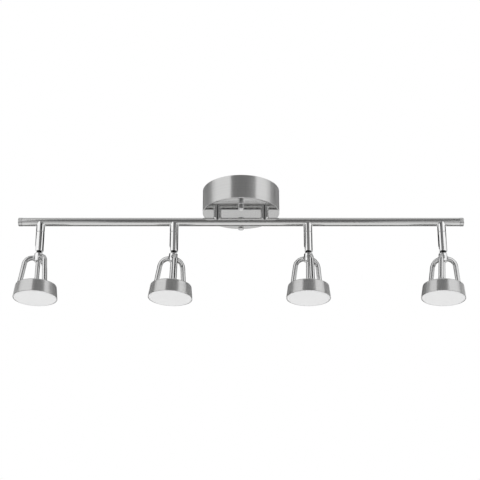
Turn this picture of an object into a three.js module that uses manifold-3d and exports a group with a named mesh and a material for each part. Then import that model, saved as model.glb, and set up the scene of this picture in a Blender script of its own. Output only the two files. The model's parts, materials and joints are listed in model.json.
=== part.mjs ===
// A ceiling light: a round canopy, a bar hung under it on two posts, and four lamp heads.
// Each head turns on a swivel sleeve under the bar and tilts on a knuckle inside that sleeve.
// Millimetres, +Z up. The origin is the middle of the mounting bracket's top face, in the plane
// of the ceiling.
// +X runs along the bar and -Y is the front.
import * as THREE from "three";
import { mergeVertices } from "three/addons/utils/BufferGeometryUtils.js";
import Module from "manifold-3d";

const wasm = await Module();
wasm.setup();

// ---- Driving dimensions ----------------------------------------------------------------

const seat = 0.3; // gap left where one piece rests on, or goes into, another

const canopyDiameter = 127;
const canopyDepth = 41;
const canopyWall = 1.2;
const canopyEdgeRadius = 1.6;

const barDiameter = 14;
const barLength = 736; // over the end caps
const barWall = 1.2;
const barDrop = 56; // ceiling to the bar's axis
const endCapLength = 7;
const endCapProud = 0.2; // how far the cap stands out over the tube, on the radius
const endCapPlugLength = 9;
const wireHoleRadius = 2.5;

const postSpacing = 78;
const postDiameter = 14;
const postThreadRadius = 5;
const postThreadLength = 8; // above the canopy floor's underside
const postNutFlats = 15;
const postNutThickness = 4;

const studSpacing = 80;
const studRadius = 2;
const capNutRadius = 4.75;
const capNutLength = 10.8;
const capNutWall = 3; // between the blind bore and the rounded end
const capNutRound = 1.2;

const bracketThickness = 2;
const bracketArmWidth = 22;
const bracketCorner = 5;
const bracketToCanopy = 8; // least gap between an arm's end and the canopy's wall
const bracketPastStud = 10; // from a stud's axis to the end of its arm
const boxScrewSlotWidth = 6;
const boxScrewSlotInner = 31; // nearest end of the slot, from the centre
const boxScrewSlotMargin = 5; // furthest end of the slot to the end of its arm
const groundScrewOffset = 19;
const groundScrewShank = 1.8;
const groundScrewHead = 4;
const groundScrewHeadHeight = 2.2;

const driverLength = 54;
const driverWidth = 48;
const driverHeight = 22;
const driverCorner = 3;
const terminalLength = 27;
const terminalWidth = 15;
const terminalBase = 5;
const terminalTower = 5;
const terminalPoles = 3;

const stemSpacing = 220.4;
const headCount = 4;
const stemDiameter = 14;
const saddleFlare = 1.4; // how much wider the collar is, on the radius, where it meets the bar
const saddleFlareHeight = 5;
const collarDrop = 19; // bar axis to the seam between collar and sleeve
const swivelNutThickness = 2.4;
const swivelNutRing = 1.2; // width of the nut's ring, past the spigot
const swivelNutPlay = 0.5; // between the nut and the sleeve's bore

const sleeveLength = 33.7; // seam to the sleeve's open end
const sleeveWall = 1.3;
const sleeveRoof = 3;
const pivotHeight = 5.5; // pivot above the sleeve's open end
const pivotPinRadius = 1.5;
const runningGap = 0.4; // clearance round the knuckle and past the sleeve's end

const neckRadius = 3.6;
const eyeRadius = 4;
const hubRadius = 7;
const hubHeight = 14.2;
const hubBore = 2.8;
const jointSpigotLength = 6; // how far the neck and the wire tube go into the hub

const legCount = 3;
const legRadius = 4;
const legBelowHubTop = 8.2; // hub's top face to the axis of a leg where it leaves the hub
const legBend = 13;
const legFlare = 8; // degrees from upright
const legFootRadius = 27; // from the head's axis to the middle of a leg's foot

const wireTubeRadius = 3.75;
const wireTubeBore = 1.4;
const wireTubeEnd = 7; // threaded end inside the housing
const tubeNutFlats = 9;
const tubeNutThickness = 3.5;

const housingBelowHub = 41.3; // hub's underside to the housing's roof
const housingTopRadius = 33.2;
const housingRimRadius = 36.2;
const housingHeight = 22.2;
const housingWall = 1.2;
const housingEdgeRadius = 2;
const diffuserThickness = 3.4;
const diffuserProud = 0.8;
const diffuserRound = 1.4;
const rimWall = 1.1;
const ledgeWidth = 1.2;

const ledBoardRadius = 24;
const ledBoardBore = 8;
const ledBoardThickness = 1.6;
const ledCount = 6;
const ledSize = 3.5;
const ledHeight = 0.8;
const ledCircleRadius = 17;

const restTilts = [1.4, 2.9, 0.8, 2.4]; // degrees that each head hangs towards its slot
const cageTurns = [67, 43, 41, 14]; // degrees that each head's legs are turned about its axis

// Sides of each kind of round, and steps round the bend of a leg.
const roundSides = { canopy: 44, housing: 28, tube: 16, small: 12, leg: 10 };
const legBendSteps = 5;

// ---- Materials -------------------------------------------------------------------------

const finish = (color, roughness, metalness) =>
  new THREE.MeshStandardMaterial({ color, roughness, metalness });
const brushedNickel = finish(0xb9b7b3, 0.38, 1);
const polishedNickel = finish(0xcfcecb, 0.14, 1);
const blackSteel = finish(0x1a1a1a, 0.45, 1);
const zincSteel = finish(0xa9adb0, 0.45, 1);
const driverPlastic = finish(0xe9e8e3, 0.5, 0);
const boardWhite = finish(0xf1f1ec, 0.45, 0);
const opalAcrylic = finish(0xf2f2f0, 0.35, 0);
const terminalPlastic = finish(0xdcd8cc, 0.45, 0);

// ---- Solids ----------------------------------------------------------------------------

// A geometry as a manifold-3d solid, whatever way round its faces were wound.
function solidOf(geometry) {
  const bare = geometry.clone();
  bare.deleteAttribute("normal");
  bare.deleteAttribute("uv");
  const merged = mergeVertices(bare, 1e-4);
  const triVerts = new Uint32Array(merged.index.array);
  const vertProperties = merged.attributes.position.array;
  const solid = new wasm.Manifold(new wasm.Mesh({ numProp: 3, vertProperties, triVerts }));
  if (solid.volume() > 0) return solid;
  for (let i = 0; i < triVerts.length; i += 3) {
    [triVerts[i + 1], triVerts[i + 2]] = [triVerts[i + 2], triVerts[i + 1]];
  }
  return new wasm.Manifold(new wasm.Mesh({ numProp: 3, vertProperties, triVerts }));
}

// A solid's triangles as a three.js geometry.
function geometryOf(solid) {
  const mesh = solid.getMesh();
  const position = new Float32Array(mesh.numVert * 3);
  for (let i = 0; i < mesh.numVert; i++) {
    const from = i * mesh.numProp;
    position.set(mesh.vertProperties.subarray(from, from + 3), i * 3);
  }
  const geometry = new THREE.BufferGeometry();
  geometry.setAttribute("position", new THREE.BufferAttribute(position, 3));
  geometry.setIndex(new THREE.BufferAttribute(new Uint32Array(mesh.triVerts), 1));
  geometry.computeVertexNormals();
  return geometry;
}

// Revolves [radius, height] points about Z. The profile closes on itself, or starts and ends on the axis.
function lathe(profile, sides) {
  const points = profile.map(([radius, height]) => new THREE.Vector2(radius, height));
  const onAxis = profile[0][0] === 0;
  if (!onAxis) points.push(points[0].clone());
  return solidOf(new THREE.LatheGeometry(points, sides).rotateX(Math.PI / 2));
}

// Points of a profile's round from one angle to another, in degrees, about [radius, height].
function arc([centreRadius, centreHeight], radius, from, to, steps = 2) {
  return Array.from({ length: steps + 1 }, (_, i) => {
    const angle = THREE.MathUtils.degToRad(from + ((to - from) * i) / steps);
    return [centreRadius + radius * Math.cos(angle), centreHeight + radius * Math.sin(angle)];
  });
}

function ring(outer, inner, top, bottom, sides) {
  return lathe([[inner, bottom], [outer, bottom], [outer, top], [inner, top]], sides);
}

function disc(radius, top, bottom, sides) {
  return lathe([[0, bottom], [radius, bottom], [radius, top], [0, top]], sides);
}

// A straight round bar between two heights, moved to x, y.
const rod = (radius, top, bottom, x = 0, y = 0, sides = roundSides.small) =>
  disc(radius, top, bottom, sides).translate([x, y, 0]);

// A round bar through the origin along X or Y.
const rodAlongX = (radius, length, sides = roundSides.tube) =>
  disc(radius, length / 2, -length / 2, sides).rotate([0, 90, 0]);
const rodAlongY = (radius, length, sides = roundSides.small) =>
  disc(radius, length / 2, -length / 2, sides).rotate([90, 0, 0]);

// A box between two corners.
function box([x0, y0, z0], [x1, y1, z1]) {
  const geometry = new THREE.BoxGeometry(x1 - x0, y1 - y0, z1 - z0);
  return solidOf(geometry.translate((x0 + x1) / 2, (y0 + y1) / 2, (z0 + z1) / 2));
}

// A flat outline as a plate between two heights.
function plate(shape, top, bottom) {
  const depth = top - bottom;
  const geometry = new THREE.ExtrudeGeometry(shape, { depth, bevelEnabled: false, curveSegments: 2 });
  return solidOf(geometry.translate(0, 0, bottom));
}

// A slot's outline, with a half round at each end.
function slotOutline(length, width) {
  const radius = width / 2;
  const middle = length / 2 - radius;
  const shape = new THREE.Shape();
  shape.absarc(middle, 0, radius, -Math.PI / 2, Math.PI / 2);
  shape.absarc(-middle, 0, radius, Math.PI / 2, 1.5 * Math.PI);
  return shape;
}

function roundedRectangle(length, width, radius) {
  const [x, y] = [length / 2, width / 2];
  const shape = new THREE.Shape();
  shape.absarc(x - radius, y - radius, radius, 0, Math.PI / 2);
  shape.absarc(radius - x, y - radius, radius, Math.PI / 2, Math.PI);
  shape.absarc(radius - x, radius - y, radius, Math.PI, 1.5 * Math.PI);
  shape.absarc(x - radius, radius - y, radius, 1.5 * Math.PI, 2 * Math.PI);
  return shape;
}

// A hexagon nut with a round bore, between two heights.
function hexNut(flats, bore, top, bottom) {
  const hexagon = disc(flats / Math.sqrt(3), top, bottom, 6);
  return hexagon.subtract(rod(bore, top + 1, bottom - 1));
}

function part(name, solid, material) {
  const mesh = new THREE.Mesh(geometryOf(solid), material);
  mesh.name = name;
  return mesh;
}

// ---- Canopy and its fastenings ---------------------------------------------------------

const canopyRadius = canopyDiameter / 2;
const floorUnderside = -canopyDepth;
const floorTop = floorUnderside + canopyWall;
const studPlaces = [["front", -studSpacing / 2], ["rear", studSpacing / 2]];
const postPlaces = [["left", -postSpacing / 2], ["right", postSpacing / 2]];

// A deep round cup, open to the ceiling, with holes in its floor for the studs and the posts.
function canopy() {
  const innerRadius = canopyRadius - canopyWall;
  const innerEdge = Math.max(canopyEdgeRadius - canopyWall, 0.2);
  const cup = lathe([
    [0, floorUnderside],
    ...arc([canopyRadius - canopyEdgeRadius, floorUnderside + canopyEdgeRadius], canopyEdgeRadius, -90, 0),
    [canopyRadius, 0],
    [innerRadius, 0],
    [innerRadius, floorTop + innerEdge],
    [innerRadius - innerEdge, floorTop],
    [0, floorTop],
  ], roundSides.canopy);
  const clear = [floorTop + 1, floorUnderside - 1];
  const studHoles = studPlaces.map(([, y]) => rod(studRadius + seat, ...clear, 0, y));
  const postHoles = postPlaces.map(([, x]) => rod(postThreadRadius + seat, ...clear, x, 0));
  return [...studHoles, ...postHoles].reduce((cut, hole) => cut.subtract(hole), cup);
}

// A pressed cross that screws to the junction box through the slots in its long arms.
function mountingBracket() {
  const top = 0;
  const arm = (length, width) =>
    plate(roundedRectangle(length, width, bracketCorner), top, -bracketThickness);
  const armEnd = canopyRadius - canopyWall - bracketToCanopy;
  const long = arm(2 * armEnd, bracketArmWidth);
  const short = arm(bracketArmWidth, studSpacing + 2 * bracketPastStud);
  const clear = [top + 1, -bracketThickness - 1];
  const slotOuter = armEnd - boxScrewSlotMargin;
  const slot = plate(slotOutline(slotOuter - boxScrewSlotInner, boxScrewSlotWidth), ...clear);
  const slotMiddle = (boxScrewSlotInner + slotOuter) / 2;
  const holes = [
    slot.translate([slotMiddle, 0, 0]),
    slot.translate([-slotMiddle, 0, 0]),
    ...studPlaces.map(([, y]) => rod(studRadius + seat, ...clear, 0, y)),
    rod(groundScrewShank + seat, ...clear, groundScrewOffset, 0),
  ];
  return holes.reduce((cut, hole) => cut.subtract(hole), long.add(short));
}

// A threaded stud from inside the bracket's hole, through the canopy's floor, into the cap nut.
function stud(y) {
  const end = floorUnderside - (capNutLength - capNutWall) + seat;
  return rod(studRadius, -seat, end, 0, y);
}

// A round blind nut with a softened lower edge.
function capNut(y) {
  const top = floorUnderside - seat;
  const bottom = top - capNutLength;
  const boreEnd = bottom + capNutWall;
  return lathe([
    [0, bottom],
    ...arc([capNutRadius - capNutRound, bottom + capNutRound], capNutRound, -90, 0),
    [capNutRadius, top],
    [studRadius + seat, top],
    [studRadius + seat, boreEnd],
    [0, boreEnd],
  ], roundSides.small).translate([0, y, 0]);
}

function groundScrew() {
  const headTop = -bracketThickness - seat;
  return lathe([
    [0, headTop - groundScrewHeadHeight],
    [groundScrewHead * 0.8, headTop - groundScrewHeadHeight],
    [groundScrewHead, headTop - groundScrewHeadHeight / 2],
    [groundScrewHead, headTop],
    [groundScrewShank, headTop],
    [groundScrewShank, -seat],
    [0, -seat],
  ], roundSides.small).translate([groundScrewOffset, 0, 0]);
}

const driverBottom = floorTop + seat;
const driverTop = driverBottom + driverHeight;

function driver() {
  return plate(roundedRectangle(driverLength, driverWidth, driverCorner), driverTop, driverBottom);
}

// A connector block on top of the driver: a base with one tower for each pole.
function terminalBlock() {
  const bottom = driverTop + seat;
  const middle = bottom + terminalBase;
  const pitch = terminalLength / terminalPoles;
  const half = [terminalLength / 2, terminalWidth / 2];
  const base = box([-half[0], -half[1], bottom], [half[0], half[1], middle]);
  const towers = Array.from({ length: terminalPoles }, (_, i) => {
    const x = (i - (terminalPoles - 1) / 2) * pitch;
    const [w, d] = [pitch * 0.36, terminalWidth * 0.28];
    return box([x - w, -d, middle - 1], [x + w, d, middle + terminalTower]);
  });
  return towers.reduce((joined, tower) => joined.add(tower), base);
}

// ---- Bar and posts ---------------------------------------------------------------------

const barRadius = barDiameter / 2;
const barEnd = barLength / 2 - endCapLength; // the cut end of the tube
const stemPlaces = Array.from({ length: headCount }, (_, i) => (i - (headCount - 1) / 2) * stemSpacing);

// The tube, with a wire hole above for each post and below for each stem.
function trackBar() {
  const tube = ring(barRadius, barRadius - barWall, barEnd, -barEnd, roundSides.tube);
  const above = postPlaces.map(([, x]) => rod(wireHoleRadius, barDiameter, 0, x));
  const below = stemPlaces.map((x) => rod(wireHoleRadius, 0, -barDiameter, x));
  const drilled = [...above, ...below].reduce((cut, hole) => cut.subtract(hole), tube.rotate([0, 90, 0]));
  return drilled.translate([0, 0, -barDrop]);
}

// A turned cap: a flange over the end of the tube and a plug inside it. Side is -1 or 1.
function endCap(side) {
  const [inner, outer] = [barEnd + seat, barLength / 2];
  const flange = barRadius + endCapProud;
  const plug = barRadius - barWall - seat;
  const cap = lathe([
    [0, inner - endCapPlugLength],
    [plug, inner - endCapPlugLength],
    [plug, inner],
    [flange, inner],
    ...arc([flange - 0.8, outer - 0.8], 0.8, 0, 90),
    [0, outer],
  ], roundSides.tube);
  return cap.rotate([0, side * 90, 0]).translate([0, 0, -barDrop]);
}

// What a saddle end is cut with: the bar's outside and the clearance round it.
const barCutter = () => rodAlongX(barRadius + seat, barLength).translate([0, 0, -barDrop]);

// The outline, from the bar's axis outwards, of a turned piece that flares to a saddle on the bar.
// Toward is 1 for a piece above the bar and -1 for one below it.
function saddleProfile(radius, toward) {
  const wide = radius + saddleFlare;
  const start = -barDrop + toward * (barRadius - 2);
  const end = -barDrop + toward * (barRadius + saddleFlareHeight - 2);
  return [
    [wide, start],
    [wide - saddleFlare * 0.6, (start + end) / 2],
    [radius, end],
  ];
}

// A turned post: a saddle on the bar, a round body, and a thread through the canopy's floor.
function post(x) {
  const shoulder = floorUnderside - seat;
  const radius = postDiameter / 2;
  const threadTop = floorUnderside + postThreadLength;
  const [flareStart, flareMiddle, flareEnd] = saddleProfile(radius, 1);
  const body = lathe([
    [wireHoleRadius, -barDrop],
    [flareStart[0], -barDrop],
    flareStart,
    flareMiddle,
    [radius, Math.min(flareEnd[1], shoulder - 1)],
    [radius, shoulder],
    [postThreadRadius, shoulder],
    [postThreadRadius, threadTop],
    [wireHoleRadius, threadTop],
  ], roundSides.tube).translate([x, 0, 0]);
  return body.subtract(barCutter());
}

function postNut(x) {
  const bottom = floorTop + seat;
  const top = bottom + postNutThickness;
  return hexNut(postNutFlats, postThreadRadius + seat, top, bottom).translate([x, 0, 0]);
}

// ---- Stem: collar, swivel nut, sleeve and pin, in the stem's own frame (bar axis at z = 0) ----

const stemRadius = stemDiameter / 2;
const seam = -collarDrop;
const sleeveTop = seam - seat;
const sleeveBore = stemRadius - sleeveWall;
const swivelNutRadius = sleeveBore - swivelNutPlay;
const spigotRadius = swivelNutRadius - swivelNutRing - seat;
const roofUnderside = sleeveTop - sleeveRoof;
const swivelNutTop = roofUnderside - seat;
const spigotEnd = swivelNutTop - swivelNutThickness - seat;
const sleeveEnd = sleeveTop - sleeveLength;
const pivot = sleeveEnd + pivotHeight;
const slotHalf = neckRadius + runningGap;

// A turned collar under the bar, with the spigot that the sleeve turns on.
function stemCollar() {
  const [flareStart, flareMiddle, flareEnd] = saddleProfile(stemRadius, -1).map(([r, z]) => [r, z + barDrop]);
  const body = lathe([
    [wireHoleRadius, 0],
    [wireHoleRadius, spigotEnd],
    [spigotRadius, spigotEnd],
    [spigotRadius, seam],
    [stemRadius, seam],
    flareEnd,
    flareMiddle,
    flareStart,
    [flareStart[0], 0],
  ], roundSides.tube);
  return body.subtract(barCutter().translate([0, 0, barDrop]));
}

function swivelNut() {
  const bottom = swivelNutTop - swivelNutThickness;
  return ring(swivelNutRadius, spigotRadius + seat, swivelNutTop, bottom, roundSides.small);
}

// A tube with a roof that turns on the spigot, open below, with one slot for the knuckle to tilt through.
function swivelSleeve() {
  const tube = lathe([
    [sleeveBore, sleeveEnd],
    [stemRadius, sleeveEnd],
    [stemRadius, sleeveTop],
    [spigotRadius + seat, sleeveTop],
    [spigotRadius + seat, roofUnderside],
    [sleeveBore, roofUnderside],
  ], roundSides.tube);
  const slot = box([-stemRadius - 1, -slotHalf, sleeveEnd - 1], [0, slotHalf, pivot + slotHalf]);
  const pinHole = rodAlongY(pivotPinRadius + seat, stemDiameter + 2).translate([0, 0, pivot]);
  return tube.subtract(slot).subtract(pinHole);
}

const pivotPin = () => rodAlongY(pivotPinRadius, stemDiameter - 0.4).translate([0, 0, pivot]);

// ---- Head, in its own frame (pivot at z = 0) -------------------------------------------

const hubDrop = Math.hypot(stemRadius, pivotHeight) + runningGap; // clears the sleeve's end at any tilt
const hubTop = -hubDrop;
const hubBottom = hubTop - hubHeight;
const legDrop = hubDrop + legBelowHubTop;
const roofTop = hubBottom - housingBelowHub;
const eyeHalf = Math.sqrt((sleeveBore - runningGap) ** 2 - eyeRadius ** 2); // its corners clear the bore
const roofInside = roofTop - housingWall;
const rim = roofTop - housingHeight;

// An eye on the pivot pin, a round neck, and a spigot into the hub.
function knuckle() {
  const eye = rodAlongY(eyeRadius, 2 * Math.min(eyeHalf, neckRadius), roundSides.tube);
  const shoulder = hubTop + seat;
  const neck = lathe([
    [0, hubTop - jointSpigotLength],
    [hubBore - seat, hubTop - jointSpigotLength],
    [hubBore - seat, shoulder],
    [neckRadius, shoulder],
    [neckRadius, 0],
    [0, 0],
  ], roundSides.tube);
  return eye.add(neck).subtract(rodAlongY(pivotPinRadius + seat, 3 * neckRadius));
}

// The middle line of one leg: out of the hub, round the bend, then down and slightly outwards.
// Its points are the two ends and the steps of the bend, so the straight lengths take one step each.
class LegLine extends THREE.Curve {
  constructor() {
    super();
    const flare = THREE.MathUtils.degToRad(legFlare);
    const turn = Math.PI / 2 - flare;
    const bendEndHeight = -legDrop - legBend * (1 - Math.cos(turn));
    const bendEndRadius = legFootRadius - Math.tan(flare) * (bendEndHeight - roofTop);
    const bendStartRadius = bendEndRadius - legBend * Math.sin(turn);
    this.stations = [new THREE.Vector3(hubRadius - 2, 0, -legDrop)];
    for (let i = 0; i <= legBendSteps; i++) {
      const angle = (turn * i) / legBendSteps;
      const radius = bendStartRadius + legBend * Math.sin(angle);
      this.stations.push(new THREE.Vector3(radius, 0, -legDrop - legBend * (1 - Math.cos(angle))));
    }
    const endRadius = legFootRadius + Math.tan(flare) * legRadius;
    this.stations.push(new THREE.Vector3(endRadius, 0, roofTop - legRadius));
  }

  getPoint(share, target = new THREE.Vector3()) {
    const place = share * (this.stations.length - 1);
    const from = Math.min(Math.floor(place), this.stations.length - 2);
    return target.lerpVectors(this.stations[from], this.stations[from + 1], place - from);
  }

  getPointAt(share, target) {
    return this.getPoint(share, target);
  }

  getTangentAt(share, target) {
    return this.getTangent(share, target);
  }
}

// One bent leg, cut level just above the housing's roof.
function leg() {
  const line = new LegLine();
  const section = new THREE.Shape().absarc(0, 0, legRadius, 0, 2 * Math.PI);
  const geometry = new THREE.ExtrudeGeometry(section, {
    extrudePath: line,
    steps: line.stations.length - 1,
    curveSegments: roundSides.leg / 2,
    bevelEnabled: false,
  });
  const reach = 2 * legFootRadius;
  const below = box([0, -reach, roofTop - reach], [reach, reach, roofTop + seat]);
  return solidOf(geometry).subtract(below);
}

// A turned hub with its three bent legs welded on.
function cage() {
  const hub = ring(hubRadius, hubBore, hubTop, hubBottom, roundSides.tube);
  const legs = Array.from({ length: legCount }, (_, i) => leg().rotate([0, 0, (i * 360) / legCount]));
  return legs.reduce((joined, next) => joined.add(next), hub);
}

// The tube that carries the wires, with a thread at each end.
function wireTube() {
  const threadRadius = hubBore - seat;
  return lathe([
    [wireTubeBore, roofInside - wireTubeEnd],
    [threadRadius, roofInside - wireTubeEnd],
    [threadRadius, roofTop + seat],
    [wireTubeRadius, roofTop + seat],
    [wireTubeRadius, hubBottom - seat],
    [threadRadius, hubBottom - seat],
    [threadRadius, hubBottom + jointSpigotLength],
    [wireTubeBore, hubBottom + jointSpigotLength],
  ], roundSides.small);
}

const tubeNut = () =>
  hexNut(tubeNutFlats, hubBore, roofInside - seat, roofInside - seat - tubeNutThickness);

// A spun cup: a flat roof with a softened edge, a wall that widens downwards, and a seat for the diffuser.
function lampHousing() {
  const ledge = rim + diffuserThickness - diffuserProud;
  const pocket = housingRimRadius - rimWall;
  const insideTop = housingTopRadius - housingWall;
  return lathe([
    [hubBore, roofInside],
    [hubBore, roofTop],
    ...arc([housingTopRadius - housingEdgeRadius, roofTop - housingEdgeRadius], housingEdgeRadius, 90, 0),
    [housingRimRadius, rim],
    [pocket, rim],
    [pocket, ledge],
    [pocket - ledgeWidth, ledge],
    [insideTop, roofInside],
  ], roundSides.housing);
}

// An opal disc that stands a little proud of the rim, with a softened edge.
function diffuser() {
  const radius = housingRimRadius - rimWall - seat;
  const bottom = rim - diffuserProud;
  const top = bottom + diffuserThickness - seat;
  return lathe([
    [0, bottom],
    ...arc([radius - diffuserRound, bottom + diffuserRound], diffuserRound, -90, 0),
    [radius, top],
    [0, top],
  ], roundSides.housing);
}

// A ring of board round the tube nut, with its LEDs facing down.
function ledBoard() {
  const top = roofInside - seat;
  const bottom = top - ledBoardThickness;
  const board = ring(ledBoardRadius, ledBoardBore, top, bottom, roundSides.tube);
  const half = ledSize / 2;
  const led = box([-half, -half, bottom - ledHeight], [half, half, bottom + ledHeight / 2]);
  const placed = led.translate([ledCircleRadius, 0, 0]);
  const leds = Array.from({ length: ledCount }, (_, i) => placed.rotate([0, 0, (i * 360) / ledCount]));
  return leds.reduce((joined, next) => joined.add(next), board);
}

// ---- Assembly --------------------------------------------------------------------------

function canopyGroup() {
  const group = new THREE.Group();
  group.add(part("canopy", canopy(), brushedNickel));
  group.add(part("mounting_bracket", mountingBracket(), zincSteel));
  group.add(part("ground_screw", groundScrew(), zincSteel));
  group.add(part("led_driver", driver(), driverPlastic));
  group.add(part("terminal_block", terminalBlock(), terminalPlastic));
  for (const [side, y] of studPlaces) {
    group.add(part(side + "_stud", stud(y), zincSteel));
    group.add(part(side + "_cap_nut", capNut(y), polishedNickel));
  }
  return group;
}

function barGroup() {
  const group = new THREE.Group();
  group.add(part("track_bar", trackBar(), brushedNickel));
  group.add(part("left_end_cap", endCap(-1), brushedNickel));
  group.add(part("right_end_cap", endCap(1), brushedNickel));
  for (const [side, x] of postPlaces) {
    group.add(part(side + "_post", post(x), polishedNickel));
    group.add(part(side + "_post_nut", postNut(x), zincSteel));
  }
  return group;
}

function headGroup(number, cageTurn, restTilt) {
  const group = new THREE.Group();
  const turned = THREE.MathUtils.degToRad(cageTurn);
  const cageMesh = part("leg_cage_" + number, cage(), polishedNickel);
  cageMesh.rotation.z = turned;
  group.add(cageMesh);
  group.add(part("knuckle_" + number, knuckle(), blackSteel));
  group.add(part("wire_tube_" + number, wireTube(), polishedNickel));
  group.add(part("tube_nut_" + number, tubeNut(), zincSteel));
  group.add(part("lamp_housing_" + number, lampHousing(), brushedNickel));
  group.add(part("led_board_" + number, ledBoard(), boardWhite));
  group.add(part("diffuser_" + number, diffuser(), opalAcrylic));
  group.rotation.y = THREE.MathUtils.degToRad(restTilt);
  group.position.z = pivot;
  return group;
}

function stemGroup(x, index) {
  const group = new THREE.Group();
  const number = index + 1;
  group.add(part("stem_collar_" + number, stemCollar(), polishedNickel));
  group.add(part("swivel_nut_" + number, swivelNut(), zincSteel));
  group.add(part("swivel_sleeve_" + number, swivelSleeve(), polishedNickel));
  group.add(part("pivot_pin_" + number, pivotPin(), zincSteel));
  group.add(headGroup(number, cageTurns[index], restTilts[index]));
  group.position.set(x, 0, -barDrop);
  return group;
}

const fixture = new THREE.Group();
fixture.add(canopyGroup());
fixture.add(barGroup());
stemPlaces.forEach((x, index) => fixture.add(stemGroup(x, index)));

export default fixture;
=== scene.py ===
"""A ceiling light with a round canopy, a round bar on two posts, and four lamp heads that turn and tilt.

Lengths are in metres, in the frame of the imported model: the origin is in the plane of the ceiling, +X runs
along the bar and -Y is the front. The turned pieces are profiles carried round an axis, the legs are rounds
carried along a bent line, and the CAD nodes that stay hidden inside keep their own shape.
"""
import json
from math import cos, pi, radians, sin

import bmesh
import bpy
import numpy as np
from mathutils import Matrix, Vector


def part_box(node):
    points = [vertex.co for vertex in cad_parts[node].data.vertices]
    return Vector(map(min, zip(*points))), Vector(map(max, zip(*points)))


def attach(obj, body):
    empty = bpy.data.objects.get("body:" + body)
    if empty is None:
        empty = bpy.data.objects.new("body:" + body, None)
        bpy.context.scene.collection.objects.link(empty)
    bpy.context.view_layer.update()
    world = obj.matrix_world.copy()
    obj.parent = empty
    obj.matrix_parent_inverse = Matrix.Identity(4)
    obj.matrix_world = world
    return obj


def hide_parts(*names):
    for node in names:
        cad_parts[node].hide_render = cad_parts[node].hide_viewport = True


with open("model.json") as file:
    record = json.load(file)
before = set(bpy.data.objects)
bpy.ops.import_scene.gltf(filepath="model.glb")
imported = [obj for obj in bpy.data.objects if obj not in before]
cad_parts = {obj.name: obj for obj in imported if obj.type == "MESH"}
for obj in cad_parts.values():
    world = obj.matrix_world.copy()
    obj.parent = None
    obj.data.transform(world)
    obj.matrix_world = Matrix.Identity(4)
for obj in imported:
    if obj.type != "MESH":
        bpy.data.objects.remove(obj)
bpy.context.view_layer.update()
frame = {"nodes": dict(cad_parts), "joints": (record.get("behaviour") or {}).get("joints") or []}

MM = 0.001
MERGE_DISTANCE = 1e-7  # points nearer than this become one
SHARP_ANGLE = radians(40)  # faces that meet at more than this make a sharp edge

# ---- Sizes and places ------------------------------------------------------------------

JOINTS = {joint["name"]: joint for joint in frame["joints"]}
HEADS = (1, 2, 3, 4)
REST_TILT = {head: radians(-JOINTS[f"tilt_{head}"]["range_deg"][0]) for head in HEADS}
LEG_TURNS = {1: 67, 2: 43, 3: 41, 4: 14}

BAR_LOW, BAR_HIGH = (np.array(corner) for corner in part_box("track_bar"))
BAR_RADIUS = (BAR_HIGH[2] - BAR_LOW[2]) / 2
BAR_AXIS = (BAR_HIGH[2] + BAR_LOW[2]) / 2
BAR_WALL = 1.2 * MM

CANOPY_LOW, CANOPY_HIGH = (np.array(corner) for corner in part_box("canopy"))
CANOPY_RADIUS = CANOPY_HIGH[0]
CANOPY_FLOOR = CANOPY_LOW[2]
CANOPY_WALL = 1.2 * MM
CANOPY_EDGE = 1.3 * MM
CANOPY_LIP = 0.3 * MM
CAP_NUT_FLANGE = 0.5 * MM

BAR_CAP_PLUG = 8 * MM
BAR_CAP_GAP = 0.25 * MM
BAR_CAP_PLAY = 0.1 * MM

STEM_RADIUS = 7 * MM
POST_THREAD_RADIUS = 5 * MM
POST_FILLET = 1 * MM
COLLAR_FILLET = 2.4 * MM
SADDLE_SOFTNESS = 1.6 * MM
SADDLE_SINK = 0.35 * MM
SADDLE_CORE = 2 * MM
SPIGOT_RADIUS = 3.9 * MM
SPIGOT_LENGTH = 6 * MM
SPIGOT_PLAY = 0.4 * MM
SLEEVE_WALL = 1.3 * MM
SLEEVE_SHOULDER = 1 * MM
SLEEVE_EDGE = 0.22 * MM
SLOT_HALF = 4.1 * MM  # at the outside: the slot's walls lean in to 3.3 mm at the bore
SEAM_GAP = 0.3 * MM

NECK_RADIUS = 3.1 * MM
EYE_RADIUS = 4 * MM
EYE_HALF = 3.4 * MM
PIN_RADIUS = 1.5 * MM
PIN_INSET = 0.05 * MM
HUB_RADIUS = 7 * MM
HUB_DROP = 9.3 * MM
HUB_HEIGHT = 14.2 * MM
LEG_RADIUS = 4 * MM
LEG_SIDES = 40
LEG_IN_HUB = 3 * MM
LEG_DROP = 17.5 * MM
LEG_BEND = 13 * MM
LEG_FLARE = radians(8)
LEG_FOOT_RADIUS = 27 * MM
WIRE_TUBE_RADIUS = 3.75 * MM
WIRE_TUBE_END_RADIUS = 2.4 * MM
WIRE_TUBE_END = 5 * MM

HOUSING_DROP = 64.8 * MM
HOUSING_HEIGHT = 22.2 * MM
HOUSING_TOP_RADIUS = 33.2 * MM
HOUSING_RIM_RADIUS = 36.2 * MM
HOUSING_WALL = 1.2 * MM
HOUSING_SHOULDER = 3 * MM
RIM_WALL = 1.1 * MM
RIM_DEPTH = 2.6 * MM
RIM_LEDGE = 1.2 * MM
DIFFUSER_PROUD = 0.8 * MM
DIFFUSER_THICKNESS = 3.1 * MM
DIFFUSER_PLAY = 0.15 * MM
TUBE_HOLE = 2.8 * MM


# ---- Surfaces --------------------------------------------------------------------------

def unit(vector):
    """The vector at a length of 1."""
    return vector / np.linalg.norm(vector)


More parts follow.
